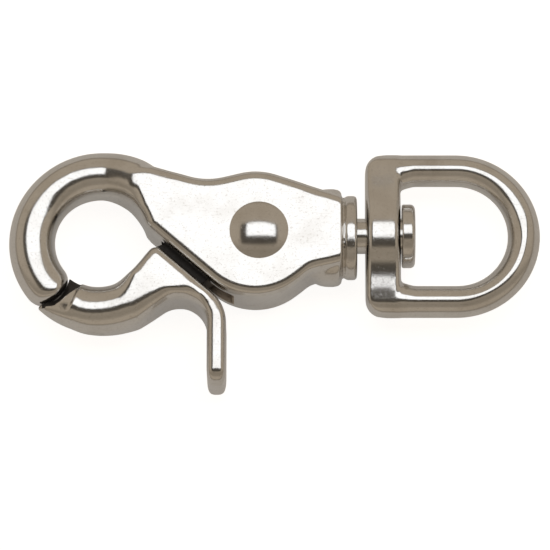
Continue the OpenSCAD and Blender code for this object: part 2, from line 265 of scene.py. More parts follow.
def section(inner, outer, half_t, square=2, lean=0, sides=40):
    """Ring of a bar from its inner to its outer side. Square 2 is round, and more is squarer.

    Lean thins the outer side.
    """
    middle = (inner + outer) / 2
    half_w = (outer - inner) / 2
    ring = []
    for k in range(sides):
        a = 2 * math.pi * k / sides
        u = rounded(math.cos(a), square)
        w = rounded(math.sin(a), square)
        ring.append(middle + half_w * u + Vector((0, 0, -half_t * w * (1 - lean * u))))
    return ring


def slab_section(inner, outer, half_t, inner_r, outer_r, rounds=9):
    """Ring of a flat bar from its inner to its outer side, with its own edge radius on each."""
    across = (outer - inner).normalized()
    most = max(min(half_t, (outer - inner).length / 2) - LEAST_FLAT, LEAST_FLAT)
    corners = ((0, outer, 1, 1), (90, inner, -1, 1), (180, inner, -1, -1), (270, outer, 1, -1))
    ring = []
    for first, place, side, up in corners:
        r = min(outer_r if side > 0 else inner_r, most)
        middle = place - side * r * across + Vector((0, 0, up * (half_t - r)))
        ring += [middle + r * (cos(a) * across + Vector((0, 0, sin(a))))
                 for a in steps(first, first + 90, rounds)]
    return ring


def round_corner(a, b, c, r):
    """Points and outward normals round the corner b of an outline that runs a, b, c."""
    u = (a - b).normalized()
    v = (c - b).normalized()
    half = u.angle(v) / 2
    side = math.copysign(1, (b - a).cross(c - b).z)
    middle = b + (u + v).normalized() * r / math.sin(half)
    start = b + u * r / math.tan(half) - middle
    first = math.degrees(math.atan2(start.y, start.x))
    sweep = side * (180 - 2 * math.degrees(half))
    count = math.ceil(abs(sweep) / 6)
    return [(middle + polar(r, first + sweep * i / count), side * polar(1, first + sweep * i / count))
            for i in range(count + 1)]


def outline(corners):
    """Outline from corners of (point, radius in plan, edge radius at its start, at its end), anticlockwise.

    Each of its points comes with the outward normal and the edge radius there.
    """
    found = []
    for i, (point, r, first_edge, last_edge) in enumerate(corners):
        bend = round_corner(corners[i - 1][0], point, corners[(i + 1) % len(corners)][0], r)
        for k, (place, normal) in enumerate(bend):
            found.append((place, normal, mix(first_edge, last_edge, k / (len(bend) - 1))))
    return found


def even_edge(corners, edge_r):
    return outline([(point, r, edge_r, edge_r) for point, r in corners])


def rounded_plate(edge, t, rounds=6):
    """Flat plate of an outline, with its edges rounded."""
    turns = steps(0, 90, rounds)
    levels = [(a, -1) for a in reversed(turns)] + [(a, 1) for a in turns]
    rings = []
    for a, side in levels:
        rings.append([point - normal * r * (1 - cos(a)) + Vector((0, 0, side * (t / 2 - r + r * sin(a))))
                      for point, normal, r in edge])
    return loft(rings)


def turned(profile, middle, axis, sides=96):
    """Solid turned on an axis, from a profile of (distance along it, radius)."""
    along = Vector(axis)
    aside = along.orthogonal().normalized()
    across = along.cross(aside)
    rings = []
    for distance, r in profile:
        rings.append([Vector(middle) + along * distance + r * (math.cos(a) * aside + math.sin(a) * across)
                      for a in (2 * math.pi * k / sides for k in range(sides))])
    return loft(rings)


def arc_profile(x, r, edge_r, first, last, rounds=6):
    """Profile of a rounded edge, whose arc's middle is at x and whose rim is at r."""
    return [(x + edge_r * sin(a), r - edge_r + edge_r * cos(a)) for a in steps(first, last, rounds)]


def change(piece, kind, **settings):
    """Adds a modifier with its settings, and applies it."""
    bpy.ops.object.select_all(action="DESELECT")
    piece.select_set(True)
    bpy.context.view_layer.objects.active = piece
    modifier = piece.modifiers.new(kind.lower(), kind)
    for name, value in settings.items():
        setattr(modifier, name, value)
    bpy.ops.object.modifier_apply(modifier=modifier.name)


def combine(piece, other, operation):
    change(piece, "BOOLEAN", object=other, operation=operation, solver="MANIFOLD")
    bpy.data.objects.remove(other)


def soften(piece, places):
    """Polishes the skin near some places, each a point and a reach, through the whole thickness."""
    group = piece.vertex_groups.new(name="soften")
    for vertex in piece.data.vertices:
        here = Vector((vertex.co.x, vertex.co.y, 0)) / MM
        near = max(1 - (here - point).length / reach for point, reach in places)
        if near > 0:
            group.add([vertex.index], smooth(BLEND_GAIN * near), "REPLACE")
    change(piece, "SMOOTH", factor=0.5, iterations=BLEND_ROUNDS, vertex_group=group.name)
    piece.vertex_groups.clear()


def casting(name, solids, cuts, grain, blends):
    """One casting: solids joined, cuts taken out, skinned at the grain size, polished and blended."""
    piece = solids[0]
    for solid in solids[1:]:
        combine(piece, solid, "UNION")
    for cut in cuts:
        combine(piece, cut, "DIFFERENCE")
    change(piece, "REMESH", mode="VOXEL", voxel_size=grain * MM)
    change(piece, "SMOOTH", factor=0.5, iterations=POLISH_ROUNDS)
    soften(piece, blends)
    piece.name = piece.data.name = name
    bpy.ops.object.shade_smooth()
    return piece


# Body

SHOULDER_NORMAL = polar(1, 270 - SHOULDER_SLOPE)
SHOULDER_ALONG = polar(1, 180 - SHOULDER_SLOPE)
SHOULDER_FOOT = BODY_MIDDLE + BODY_R * SHOULDER_NORMAL


def body_edge():
    """Outline of the cheeks, from the neck round the back, the crest, the hook's side and the shoulder."""
    tail_foot = BODY_MIDDLE + polar(BODY_R, 270 + TAIL_SLOPE)
    tail_along = polar(1, TAIL_SLOPE)
    cheek_along = polar(1, 90 + CHEEK_SLOPE)
    cheek_foot = HOOK + polar(HOOK_INNER_R + CHEEK_INSET, CHEEK_SLOPE)
    neck_end = NECK_X + CHEEK_EDGE_R
    neck_low = Vector((neck_end, NECK_LOW, 0))
    crest = HOOK + Vector((CREST_AHEAD, CREST_H, 0))
    return even_edge([
        (neck_low, CHEEK_EDGE_R),
        (Vector((neck_end, NECK_HIGH, 0)), CHEEK_EDGE_R),
        (BACK_TOP, BODY_R),
        (WAIST, BODY_R),
        (crest, CREST_R),
        (crossing(cheek_foot, cheek_along, crest, Vector((1, 0, 0))), CHEEK_EDGE_R),
        (crossing(cheek_foot, cheek_along, SHOULDER_FOOT, SHOULDER_ALONG), CHEEK_EDGE_R),
        (crossing(SHOULDER_FOOT, SHOULDER_ALONG, tail_foot, tail_along), BODY_R),
        (crossing(tail_foot, tail_along, neck_low, polar(1, NECK_SLOPE)), TAIL_R),
    ], CHEEK_EDGE_R)


def arm_ramp(a):
    """How far the arm has risen to the cheeks: it starts easily, then runs straight."""
    t = min(max((RAMP_FOOT_ANGLE - a) / (RAMP_FOOT_ANGLE - RAMP_TOP_ANGLE), 0), 1)
    risen = t * t / (2 * RAMP_EASE) if t < RAMP_EASE else t - RAMP_EASE / 2
    return risen / (1 - RAMP_EASE / 2)


def arm_half_t(a):
    """The arm thickens a little towards its root, and then ramps up to the cheeks."""
    root = BAR_R + ROOT_SWELL * smooth((ROOT_SWELL_ANGLE - a) / (ROOT_SWELL_ANGLE - RAMP_FOOT_ANGLE))
    return mix(root, BODY_T / 2 - SUNK, arm_ramp(a))


def tip_rings(gap):
    """End of the hook arm, rounded in plan and blunt in thickness, or the same with a gap all round."""
    tip = HOOK + polar(HOOK_MID_R, TIP_ANGLE)
    ahead = polar(1, TIP_ANGLE + 90)
    across = polar(1, TIP_ANGLE)
    rings = []
    for a in steps(0, 86, 16):
        reach = (TIP_LENGTH + gap) * rounded(sin(a), TIP_SQUARE)
        r = (BAR_R + gap) * rounded(cos(a), TIP_SQUARE)
        middle = tip + ahead * reach
        half_t = (BAR_R + gap) * mix(1, TIP_FALL, sin(a) ** 6)
        rings.append(slab_section(middle - across * r, middle + across * r, half_t, r, r))
    return rings


def hook_bar():
    """Round bar from the tip to the ramp, whose inner side goes on as the rounded edge of the cheeks."""
    rings = []
    for a in steps(ARM_ROOT_ANGLE, TIP_ANGLE, 110)[:-1]:
        edge = mix(BAR_R, CHEEK_SIDE_R, smooth((RAMP_TOP_ANGLE - a) / (RAMP_TOP_ANGLE - CHEEK_EASE_ANGLE)))
        inner = HOOK + polar(HOOK_INNER_R, a)
        outer = HOOK + polar(HOOK_OUTER_R, a)
        rings.append(slab_section(inner, outer, arm_half_t(a), edge, BAR_R))
    return loft(rings + tip_rings(0))


def oval_ring(x, height, depth, square=2, sides=96):
    """Ring round the neck, oval or squarer than that."""
    ring = []
    for a in (2 * math.pi * k / sides for k in range(sides)):
        y = height / 2 * rounded(math.cos(a), square) - NECK_DROP
        ring.append(Vector((x, y, depth / 2 * rounded(math.sin(a), square))))
    return ring


def neck_barrel():
    """Swollen neck, whose front and back run into the cheeks' flats.

    Each ring is a place along the neck, and how much wider the neck is there than its barrel.
    """
    first = NECK_X - BARREL_L
    rings = [(first - 0.8, -4), (first, -1.8), (first + 0.8, -0.7), (first + 1.8, -0.1), (first + 2.4, 0),
             (NECK_X - 1.4, 0), (NECK_X - 0.5, -0.4), (NECK_X, -1.4)]
    return loft([oval_ring(x, BARREL_H + grow, BARREL_DEPTH + min(grow + 0.4, 0), 2.5) for x, grow in rings])


def neck_collar():
    """Collar at the end of the neck, with rings as for the barrel."""
    rings = [(NECK_X - 1, -0.8), (NECK_X + 0.4, -0.8), (NECK_X + 0.7, -0.2), (NECK_X + 1, 0),
             (COLLAR_END_X - 0.5, 0), (COLLAR_END_X - 0.15, -0.3), (COLLAR_END_X, -0.9)]
    return loft([oval_ring(x, COLLAR_H + grow, COLLAR_DEPTH + grow) for x, grow in rings])


def tongue_outline(turn, gap):
    """Tongue that fills the slot behind the jaw's shoulder, turned open by an angle."""
    right = PIVOT + polar(TONGUE_RIGHT + gap, TONGUE_ANGLE + 90 + turn)
    left = PIVOT + polar(TONGUE_LEFT + gap, TONGUE_ANGLE - 90 + turn)
    reach = polar(BODY_R + SHOULDER_GAP + TONGUE_SUNK, TONGUE_ANGLE + turn)
    return [right, left, left + reach, right + reach]


def plate_through(points, t):
    """Sharp-edged plate of an outline, about the middle plane."""
    return loft([[p + Vector((0, 0, z)) for p in points] for z in (-t / 2, t / 2)])


def hook_body():
    """Hook, cheeks, neck and collar in one, slotted for the jaw's tongue."""
    slot_r = HUB_R + HUB_GAP
    slots = [turned([(-SLOT_W / 2, slot_r), (SLOT_W / 2, slot_r)], PIVOT, (0, 0, 1))]
    for turn in steps(0, OPEN_ANGLE, 2):
        slots.append(plate_through(tongue_outline(turn, SLOT_GAP), SLOT_W))
    cheeks = rounded_plate(body_edge(), BODY_T)
    corners = ((0, -BODY_R), (BODY_R, -BODY_R), (BODY_R, BODY_R), (0, BODY_R))
    beyond_neck = [Vector((NECK_X + x, y, 0)) for x, y in corners]
    combine(cheeks, plate_through(beyond_neck, 2 * BODY_T), "DIFFERENCE")
    # The ramp's top, the crest, and both sides of the barrel's foot
    barrel_foot = NECK_X - BARREL_L + 0.8
    blends = [
        (HOOK + polar(HOOK_MID_R, RAMP_TOP_ANGLE - 1), 2.6),
        (HOOK + polar(HOOK_OUTER_R, 50), 4),
        (Vector((barrel_foot, 7.6, 0)), 3),
        (Vector((barrel_foot, -8, 0)), 3),
    ]
    solids = [cheeks, hook_bar(), neck_barrel(), neck_collar()]
    return casting("body_casting", solids, slots, BODY_GRAIN, blends)


def beside_shoulder(point):
    """How far a point lies below the body's shoulder, measured square to it."""
    return (point - BODY_MIDDLE).dot(SHOULDER_NORMAL) - BODY_R


# Jaw

JAW_FOOT = SHOULDER_FOOT + SHOULDER_GAP * SHOULDER_NORMAL
JAW_TOP_ANGLE = 350
# Where the jaw's inner side leaves the round opening
STRAIGHT_ANGLE = 320
STRAIGHT_START = HOOK + polar(HOOK_INNER_R, STRAIGHT_ANGLE)
STRAIGHT_ALONG = polar(1, STRAIGHT_ANGLE + 90)
FINGER = Vector((TRIGGER_X - TRIGGER_W - FINGER_R, FINGER_TOP - FINGER_R, 0))
FINGER_START = FINGER + polar(FINGER_R, 90 + FINGER_SLOPE)
# End of the finger rest's top, round the opening and round the rest
REST_END_ANGLE = 325
REST_TOP = 84
# Corners of the shoulder's plate, beside the straight and beside the finger rest
PLATE_AHEAD = 0.6
REST_CORNER = 1.45
REST_CORNER_R = FINGER_EDGE_R + 0.2


def jaw_inner(a):
    """Inner side of the jaw: round, then straight up to the corner of the shoulder."""
    if a < STRAIGHT_ANGLE:
        return HOOK + polar(HOOK_INNER_R, a)
    return crossing(HOOK, polar(1, a), STRAIGHT_START, STRAIGHT_ALONG)


def jaw_outer(a):
    """Outer side of the jaw: round, straight up to the finger rest, along its top and into the shoulder."""
    if a > REST_END_ANGLE:
        inside = Vector((TRIGGER_X - TRIGGER_W, FINGER_TOP, 0))
        t = (a - REST_END_ANGLE) / (JAW_TOP_ANGLE - REST_END_ANGLE)
        return mix(FINGER + polar(FINGER_R, REST_TOP), inside, t)
    if a > SWELL_END:
        turn = mix(90 + FINGER_SLOPE, REST_TOP, (a - SWELL_END) / (REST_END_ANGLE - SWELL_END))
        return FINGER + polar(FINGER_R, turn)
    straight = crossing(HOOK, polar(1, a), FINGER_START, polar(1, FINGER_SLOPE))
    round_r = HOOK_OUTER_R + JAW_SWELL * smooth((a - STEP_ANGLE) / JAW_SWELL_ANGLE)
    return straight if (straight - HOOK).length < round_r else HOOK + polar(round_r, a)


def jaw_bar():
    """Round bar that swells into the flat shoulder."""
    rings = []
    for a in steps(STEP_ANGLE, JAW_BAR_END, 60):
        swell = min(max((a - SWELL_START) / (SWELL_END - SWELL_START), 0), 1)
        flat = smooth((a - FLAT_START) / (SWELL_END - FLAT_START))
        half_t = mix(BAR_R, JAW_T / 2 - SUNK, swell)
        inner_r = mix(JAW_ROUND_R, JAW_EDGE_R, flat)
        outer_r = mix(JAW_ROUND_R, FINGER_EDGE_R, flat)
        rings.append(slab_section(jaw_inner(a), jaw_outer(a), half_t, inner_r, outer_r))
    return loft(rings)


def jaw_nose():
    """Lip that slopes down from a step in the jaw, under the end of the hook."""
    rings = []
    for a in steps(NOSE_START_ANGLE, NOSE_ROOT_ANGLE, 24):
        rise = math.sqrt(max((a - NOSE_ANGLE) / (STEP_ANGLE - NOSE_ANGLE), 0))
        half_t = mix(NOSE_T / 2, BAR_R - STEP_DROP, rise)
        inner = HOOK + polar(HOOK_INNER_R + NOSE_INSET, a)
        outer = HOOK + polar(HOOK_OUTER_R, a)
        rings.append(section(inner, outer, half_t, NOSE_SQUARE, NOSE_LEAN))
    return loft(rings)


def jaw_plate():
    """Flat shoulder beside the body's, with the top of the trigger and the finger rest."""
    left = TRIGGER_X - TRIGGER_W
    right = TRIGGER_X
    low = TRIGGER_LOW + TRIGGER_PLATE_END
    upright = Vector((0, 1, 0))
    trigger_top = crossing(JAW_FOOT, SHOULDER_ALONG, Vector((right, 0, 0)), upright)
    shoulder = crossing(JAW_FOOT, SHOULDER_ALONG, STRAIGHT_START, STRAIGHT_ALONG)
    edge = outline([
        (Vector((left, low, 0)), TRIGGER_EDGE_R, TRIGGER_EDGE_R, TRIGGER_EDGE_R),
        (Vector((right, low, 0)), TRIGGER_EDGE_R, TRIGGER_EDGE_R, TRIGGER_EDGE_R),
        (trigger_top, TRIGGER_TOP_R, TRIGGER_EDGE_R, JAW_EDGE_R),
        (shoulder, JAW_EDGE_R, JAW_EDGE_R, JAW_EDGE_R),
        (STRAIGHT_START + PLATE_AHEAD * STRAIGHT_ALONG, JAW_EDGE_R, JAW_EDGE_R, JAW_EDGE_R),
        (Vector((FINGER.x - REST_CORNER, FINGER_TOP, 0)), REST_CORNER_R, FINGER_EDGE_R, FINGER_EDGE_R),
        (Vector((left, FINGER_TOP, 0)), FINGER_R, FINGER_EDGE_R, TRIGGER_EDGE_R),
    ])
    return rounded_plate(edge, JAW_T)


def slab_ring(middle, half_x, half_z, r, rounds=6):
    """Rounded rectangle across the trigger."""
    ring = []
    for first, side, up in ((0, 1, 1), (90, -1, 1), (180, -1, -1), (270, 1, -1)):
        corner = middle + Vector((side * (half_x - r), 0, up * (half_z - r)))
        ring += [corner + r * Vector((cos(a), 0, sin(a))) for a in steps(first, first + 90, rounds)]
    return ring


def trigger():
    """Finger trigger, with its end rounded in thickness and in width."""
    middle_x = TRIGGER_X - TRIGGER_W / 2
    rings = []
    for y in steps(FINGER_TOP - TRIGGER_BAR_START, TRIGGER_LOW + TRIGGER_END_R, 12)[:-1]:
        rings.append(slab_ring(Vector((middle_x, y, 0)), TRIGGER_W / 2, JAW_T / 2, TRIGGER_EDGE_R))
    for a in steps(0, 84, 12):
        middle = Vector((middle_x, TRIGGER_LOW + TRIGGER_END_R * (1 - sin(a)), 0))
        narrow = cos(a) ** 0.5
        half_z = JAW_T / 2 - TRIGGER_END_R * (1 - cos(a))
        rings.append(slab_ring(middle, TRIGGER_W / 2 * narrow, half_z, TRIGGER_EDGE_R * narrow))
    return loft(rings)


def trigger_jaw():
    """Jaw, finger trigger and tongue in one, with the seat of the hook's end and the spring's pocket."""
    hub = turned([(-TONGUE_T / 2, HUB_R), (TONGUE_T / 2, HUB_R)], PIVOT, (0, 0, 1))
    tongue = plate_through(tongue_outline(0, 0), TONGUE_T)
    bore_r = RIVET_R + RIVET_GAP
    bore = turned([(-JAW_T, bore_r), (JAW_T, bore_r)], PIVOT, (0, 0, 1))
    end_rings = tip_rings(SEAT_GAP)
    behind = polar(-SEAT_BACK, TIP_ANGLE + 90)
    seat_rings = [[p + behind for p in end_rings[0]]] + end_rings
    seats = []
    # The seat that fits the hook's end, and its wider mouth on each face
    for ahead, up in ((0, 0), (MOUTH_GAP, MOUTH_RISE), (MOUTH_GAP, -MOUTH_RISE)):
        moved = polar(ahead, TIP_ANGLE + 90) + Vector((0, 0, up))
        seats.append(loft([[p + moved for p in ring] for ring in seat_rings]))
    pocket = turned([(POCKET_Z, POCKET_R), (TONGUE_T, POCKET_R)], PIVOT, (0, 0, 1))
    # Where the jaw's straights meet its rounds, the finger rest's top, and the trigger's root
    blends = [
        (FINGER_START, 2.5),
        (STRAIGHT_START, 2.5),
        (FINGER + polar(FINGER_R + 1.5, 80), 3),
        (FINGER + polar(FINGER_R + 1, 35), 2.5),
    ]
    solids = [jaw_bar(), jaw_nose(), jaw_plate(), trigger(), hub, tongue]
    return casting("jaw_casting", solids, seats + [bore, pocket], FINE_GRAIN, blends)


def pivot_rivet():
    """Rivet with a domed head on each face."""
    ball_r = (RIVET_HEAD_R ** 2 + RIVET_HEAD_H ** 2) / (2 * RIVET_HEAD_H)
    sweep = math.degrees(math.asin(RIVET_HEAD_R / ball_r))
    top = BODY_T / 2 + RIVET_HEAD_H
    dome = [(top - ball_r + ball_r * cos(a), ball_r * sin(a)) for a in steps(sweep, 1, 16)]
    half = [(0, RIVET_R), (BODY_T / 2, RIVET_R)] + dome
    piece = turned([(-z, r) for z, r in reversed(half)] + half[1:], PIVOT, (0, 0, 1))
    piece.name = "domed_rivet"
    bpy.ops.object.shade_smooth_by_angle(angle=math.radians(40))
    return piece


def swivel_stud():
    """Stud out of the neck, with its head inside the eye."""
    head_x = STUD_HIGH.x - STUD_HEAD_T
    profile = [(STUD_LOW.x, STUD_R), (head_x, STUD_R), (head_x, STUD_HEAD_R - STUD_BACK_R)]
    profile += arc_profile(head_x + STUD_BACK_R, STUD_HEAD_R, STUD_BACK_R, -90, 0)
    profile += arc_profile(STUD_HIGH.x - STUD_FRONT_R, STUD_HEAD_R, STUD_FRONT_R, 0, 90)
    profile += [(STUD_HIGH.x, 0.1)]
    piece = turned(profile, (0, 0, 0), (1, 0, 0))
    piece.name = "headed_stud"
    bpy.ops.object.shade_smooth_by_angle(angle=math.radians(40))
    return piece


# Eye

EYE_SQUARE = 1.75
EYE_RIDGE_SQUARE = 1.5
CROWN_R = 9.5
CROWN_END = 4.2
SHOULDER_START = 8
SHOULDER_FALL = 8.5
ROUND_START = 10
ROUND_FALL = 11
BOSS_SQUARE = 5
BOSS_CORNER_R = 3.4
BOSS_ROUND_START = EYE_MID_R + 0.4
BOSS_ROUND_END = EYE_MID_R + EYE_BAR_R + 0.05
# The legs grow wider over the last stretch before the boss, and thin out inside it
LEG_FLARE = 0.6
LEG_FLARE_L = 2.6
LEG_END_SHARE = 0.75
LEG_END_L = 1.4
# The bow is more ridged from its lower leg up to this angle, eased in and out over the next
RIDGE_END_ANGLE = 20
RIDGE_EASE_ANGLE = 30


def eye_bow():
    """Round bow and its two straight legs, which thicken towards the boss and thin out inside it."""
    start = BOSS_X + BOSS_L / 2
    end = BOSS_X + BOSS_L

    def leg(x, side):
        flare = LEG_FLARE * smooth(1 - (x - end) / LEG_FLARE_L)
        r = EYE_BAR_R * mix(LEG_END_SHARE, 1, smooth((x - start) / LEG_END_L))
        middle = Vector((x, side * EYE_MID_R, 0))
        across = Vector((0, side, 0))
        return section(middle - across * (r + flare), middle + across * r, r, EYE_SQUARE)

    along = steps(start, 0, 32)
    rings = [leg(x, -1) for x in along[:-1]]
    for a in steps(-90, 90, 56):
        ridge = smooth((RIDGE_END_ANGLE - a) / RIDGE_EASE_ANGLE) * smooth((a + 90) / RIDGE_EASE_ANGLE)
        square = mix(EYE_SQUARE, EYE_RIDGE_SQUARE, ridge)
        inner = polar(EYE_MID_R - EYE_BAR_R, a)
        outer = polar(EYE_MID_R + EYE_BAR_R, a)
        rings.append(section(inner, outer, EYE_BAR_R, square))
    rings += [leg(x, 1) for x in reversed(along[:-1])]
    return loft(rings)


def boss_slope(y):
    """Slope of the boss across the eye, in degrees: a crown over the stud, a shoulder, then the round end."""
    if y < CROWN_END:
        return math.degrees(math.asin(y / CROWN_R))
    if y < SHOULDER_START:
        crown_slope = math.degrees(math.asin(CROWN_END / CROWN_R))
        return mix(crown_slope, SHOULDER_FALL, (y - CROWN_END) / (SHOULDER_START - CROWN_END))
    return SHOULDER_FALL if y < ROUND_START else ROUND_FALL


def boss_half_t(y):
    """Half thickness of the boss, found by adding up its slope from the middle out."""
    y = abs(y)
    parts = 60
    width = y / parts
    half_t = BOSS_DEPTH / 2 - sum(math.tan(math.radians(boss_slope((i + 0.5) * width))) * width
                                  for i in range(parts))
    if y > BOSS_ROUND_START:
        past = (y - BOSS_ROUND_START) / (BOSS_ROUND_END - BOSS_ROUND_START)
        half_t *= math.sqrt(max(1 - past ** 2, 0.01))
    return half_t


def eye_boss():
    """Boss across the eye, with rounded corners towards the neck."""
    half_h = EYE_MID_R + EYE_BAR_R
    rings = []
    for y in steps(-half_h, half_h, 72):
        near_end = max(BOSS_CORNER_R - (half_h - abs(y)), 0)
        cut = BOSS_CORNER_R - math.sqrt(max(BOSS_CORNER_R ** 2 - near_end ** 2, 0))
        inner = Vector((BOSS_X + cut, y, 0))
        outer = Vector((BOSS_X + BOSS_L, y, 0))
        rings.append(section(inner, outer, boss_half_t(y), BOSS_SQUARE))
    return loft(rings)


def swivel_eye():
    """Bow, legs and boss in one, bored for the stud."""
    bore_r = STUD_R + STUD_GAP
    bore = turned([(BOSS_X - 1, bore_r), (BOSS_X + BOSS_L + 1, bore_r)], (0, 0, 0), (1, 0, 0))
    # The inner corners of the eye, and the legs' roots
    corner_x = BOSS_X + BOSS_L + 0.2
    corner_y = EYE_MID_R - EYE_BAR_R
    blends = [(Vector((corner_x, side * corner_y, 0)), 3) for side in (-1, 1)]
    blends += [(Vector((corner_x, side * EYE_MID_R, 0)), 2) for side in (-1, 1)]
    return casting("eye_casting", [eye_bow(), eye_boss()], [bore], FINE_GRAIN, blends)


# Looks

BRIGHT_NICKEL = (0.71, 0.69, 0.66, 1)
# Tarnish colour for pits, stains and scuffs, and also for the painted shade in hollows
TARNISH_AND_SHADE = (0.5, 0.46, 0.41, 1)
# Near-black and paler colours of the painted shade in the slot, on the tongue and on the seat
SHADE_DARK = (0.035, 0.03, 0.026, 1)
SHADE_PALE = (0.75, 0.66, 0.56, 1)
WIRE_GREY = (0.45, 0.45, 0.46, 1)


class Value:
    """A socket of a shader, on which Python's operators add Math nodes."""

    def __init__(self, tree, socket):
        self.tree = tree
        self.socket = socket

    def node(self, kind, settings=None, output=0, **inputs):
        """Adds a node. An input goes by its label, or by _ and its number where labels repeat."""
        node = self.tree.nodes.new(kind)
        for name, value in (settings or {}).items():
            setattr(node, name, value)
        for name, value in inputs.items():
            slot = node.inputs[int(name[1:]) if name[0] == "_" else name.replace("_", " ")]
            if isinstance(value, Value):
                self.tree.links.new(value.socket, slot)
            else:
                slot.default_value = value
        return Value(self.tree, node.outputs[output] if node.outputs else None)

    def math(self, operation, *values):
        inputs = {f"_{i}": value for i, value in enumerate(values)}
        return self.node("ShaderNodeMath", {"operation": operation}, **inputs)

    def blend(self, share, first, second):
        """Mixes two colours."""
        return self.node("ShaderNodeMix", {"data_type": "RGBA"}, output=2, _0=share, _6=first, _7=second)

    def __add__(self, other):
        return self.math("ADD", self, other)

    __radd__ = __add__

    def __sub__(self, other):
        return self.math("SUBTRACT", self, other)

    def __rsub__(self, other):
        return self.math("SUBTRACT", other, self)

    def __mul__(self, other):
        return self.math("MULTIPLY", self, other)

    __rmul__ = __mul__

    def __truediv__(self, other):
        return self.math("DIVIDE", self, other)


def new_material(name):
    material = bpy.data.materials.new(name)
    material.use_nodes = True
    tree = material.node_tree
    tree.nodes.clear()
    return material, Value(tree, None)


def polished_nickel():
    """Bright nickel plate with fine pits, faint scuffs and a little tarnish, and painted shade darkening its
    hollows.
    """
    material, start = new_material("polished_nickel")
    place = start.node("ShaderNodeTexCoord", output="Object")
    grain = start.node("ShaderNodeTexNoise", Vector=place, Scale=2600, Detail=4, Roughness=0.65)
    cloud = start.node("ShaderNodeTexNoise", Vector=place, Scale=220, Detail=3)
    waves = start.node("ShaderNodeTexNoise", Vector=place, Scale=120, Detail=1)
    drawn_out = start.node("ShaderNodeMapping", Vector=place, Rotation=(0, 0, 0.5), Scale=(350, 7000, 350))
    scuffs = start.node("ShaderNodeTexNoise", Vector=drawn_out, Scale=1, Detail=2)
    pits = start.node("ShaderNodeMapRange", Value=grain, From_Min=0.56, From_Max=0.72)
    scuffed = start.node("ShaderNodeMapRange", Value=scuffs, From_Min=0.62, From_Max=0.74)
    stain = start.node("ShaderNodeMapRange", Value=cloud, From_Min=0.45, From_Max=0.75)
    pointed = start.node("ShaderNodeNewGeometry", output="Pointiness")
    # Pointiness darkens the hollows towards the tarnish colour: painted shade
    hollow_shade = start.node("ShaderNodeMapRange", Value=pointed, From_Min=0.5, From_Max=0.44)
    wear_and_shade = start.math("MINIMUM", pits * 0.55 + stain * 0.35 + hollow_shade * 0.5 + scuffed * 0.3, 1)
    colour = start.blend(wear_and_shade, BRIGHT_NICKEL, TARNISH_AND_SHADE)
    skin = waves + grain * 0.3 - scuffed * 0.2
    bump = start.node("ShaderNodeBump", Strength=0.03, Distance=0.0002, Height=skin)
    dull = 0.12 + grain * 0.06 + pits * 0.12 + scuffed * 0.06
    shader = start.node("ShaderNodeBsdfPrincipled", Base_Color=colour, Metallic=1.0, Roughness=dull,
                        Normal=bump)
    start.node("ShaderNodeOutputMaterial", Surface=shader)
    return material


# Stretch along the shoulder in which the slot's painted shade grows paler
PALE_START = -26.5
PALE_END = -23.5
# How far the painted shade reaches past the slot's faces, its sides and its round end
FACE_RIM = 0.3
SIDE_RIM = 0.5
HUB_RIM = 0.6
# How far it reaches past the hook's seat, and past the tongue's faces and root
SEAT_RIM = 0.1
TONGUE_RIM = 0.15
ROOT_RIM = 0.1


def painted_slot_shade():
    """Painted shade for the slot, the tongue and the hook's seat: rough, near-black metal, paler towards the
    slot's end beside the trigger.
    """
    material, start = new_material("painted_slot_shade")
    place = start.node("ShaderNodeTexCoord", output="Object")
    grit = start.node("ShaderNodeTexNoise", Vector=place, Scale=2500, Detail=3)
    x, y = (start.node("ShaderNodeSeparateXYZ", output=i, Vector=place) for i in range(2))
    along = x * -SHOULDER_ALONG.x - y * SHOULDER_ALONG.y
    end = start.node("ShaderNodeMapRange", Value=along, From_Min=PALE_START * MM, From_Max=PALE_END * MM)
    # Painted shade: near black, paler towards the slot's end
    colour = start.blend(end * (0.7 + grit * 0.6), SHADE_DARK, SHADE_PALE)
    dull = 0.5 + grit * 0.3
    shader = start.node("ShaderNodeBsdfPrincipled", Base_Color=colour, Metallic=0.3, Roughness=dull)
    start.node("ShaderNodeOutputMaterial", Surface=shader)
    return material


def darken(piece, material, inside):
    """Gives a second material, used for painted shade, to the faces whose middle lies inside."""
    piece.data.materials.append(material)
    for face in piece.data.polygons:
        if inside(face.center / MM, face.normal):
            face.material_index = 1


def in_slot(middle, normal):
    """Inside the slot or on its rim, from the shut tongue to the open one."""
    reach = middle - PIVOT
    right = reach.dot(polar(1, TONGUE_ANGLE + OPEN_ANGLE + 90))
    left = reach.dot(polar(1, TONGUE_ANGLE - 90))
    back = -reach.dot(polar(1, TONGUE_ANGLE))
    between_cheeks = abs(middle.z) < SLOT_W / 2 + FACE_RIM and beside_shoulder(middle) < FACE_RIM
    between_sides = right < TONGUE_RIGHT + SIDE_RIM and left < TONGUE_LEFT + SIDE_RIM
    return between_cheeks and between_sides and back < HUB_R + HUB_RIM


def past_tip(point):
    """How far a point lies beyond the place where the hook's end begins to round."""
    return (point - HOOK - polar(HOOK_MID_R, TIP_ANGLE)).dot(polar(1, TIP_ANGLE + 90))


def on_seat(middle, normal):
    """On the jaw's seat for the hook's end, facing the hook."""
    near = (middle - HOOK - polar(HOOK_MID_R, TIP_ANGLE)).length < 2 * BAR_R
    in_mouth = past_tip(middle) < TIP_LENGTH + SEAT_GAP + MOUTH_GAP + SEAT_RIM
    return near and in_mouth and normal.dot(polar(1, TIP_ANGLE - 90)) > 0.3


def on_tongue(middle, normal):
    """On the tongue, inside the slot and across the gap to the jaw's shoulder."""
    return abs(middle.z) < TONGUE_T / 2 + TONGUE_RIM and beside_shoulder(middle) < SHOULDER_GAP + ROOT_RIM


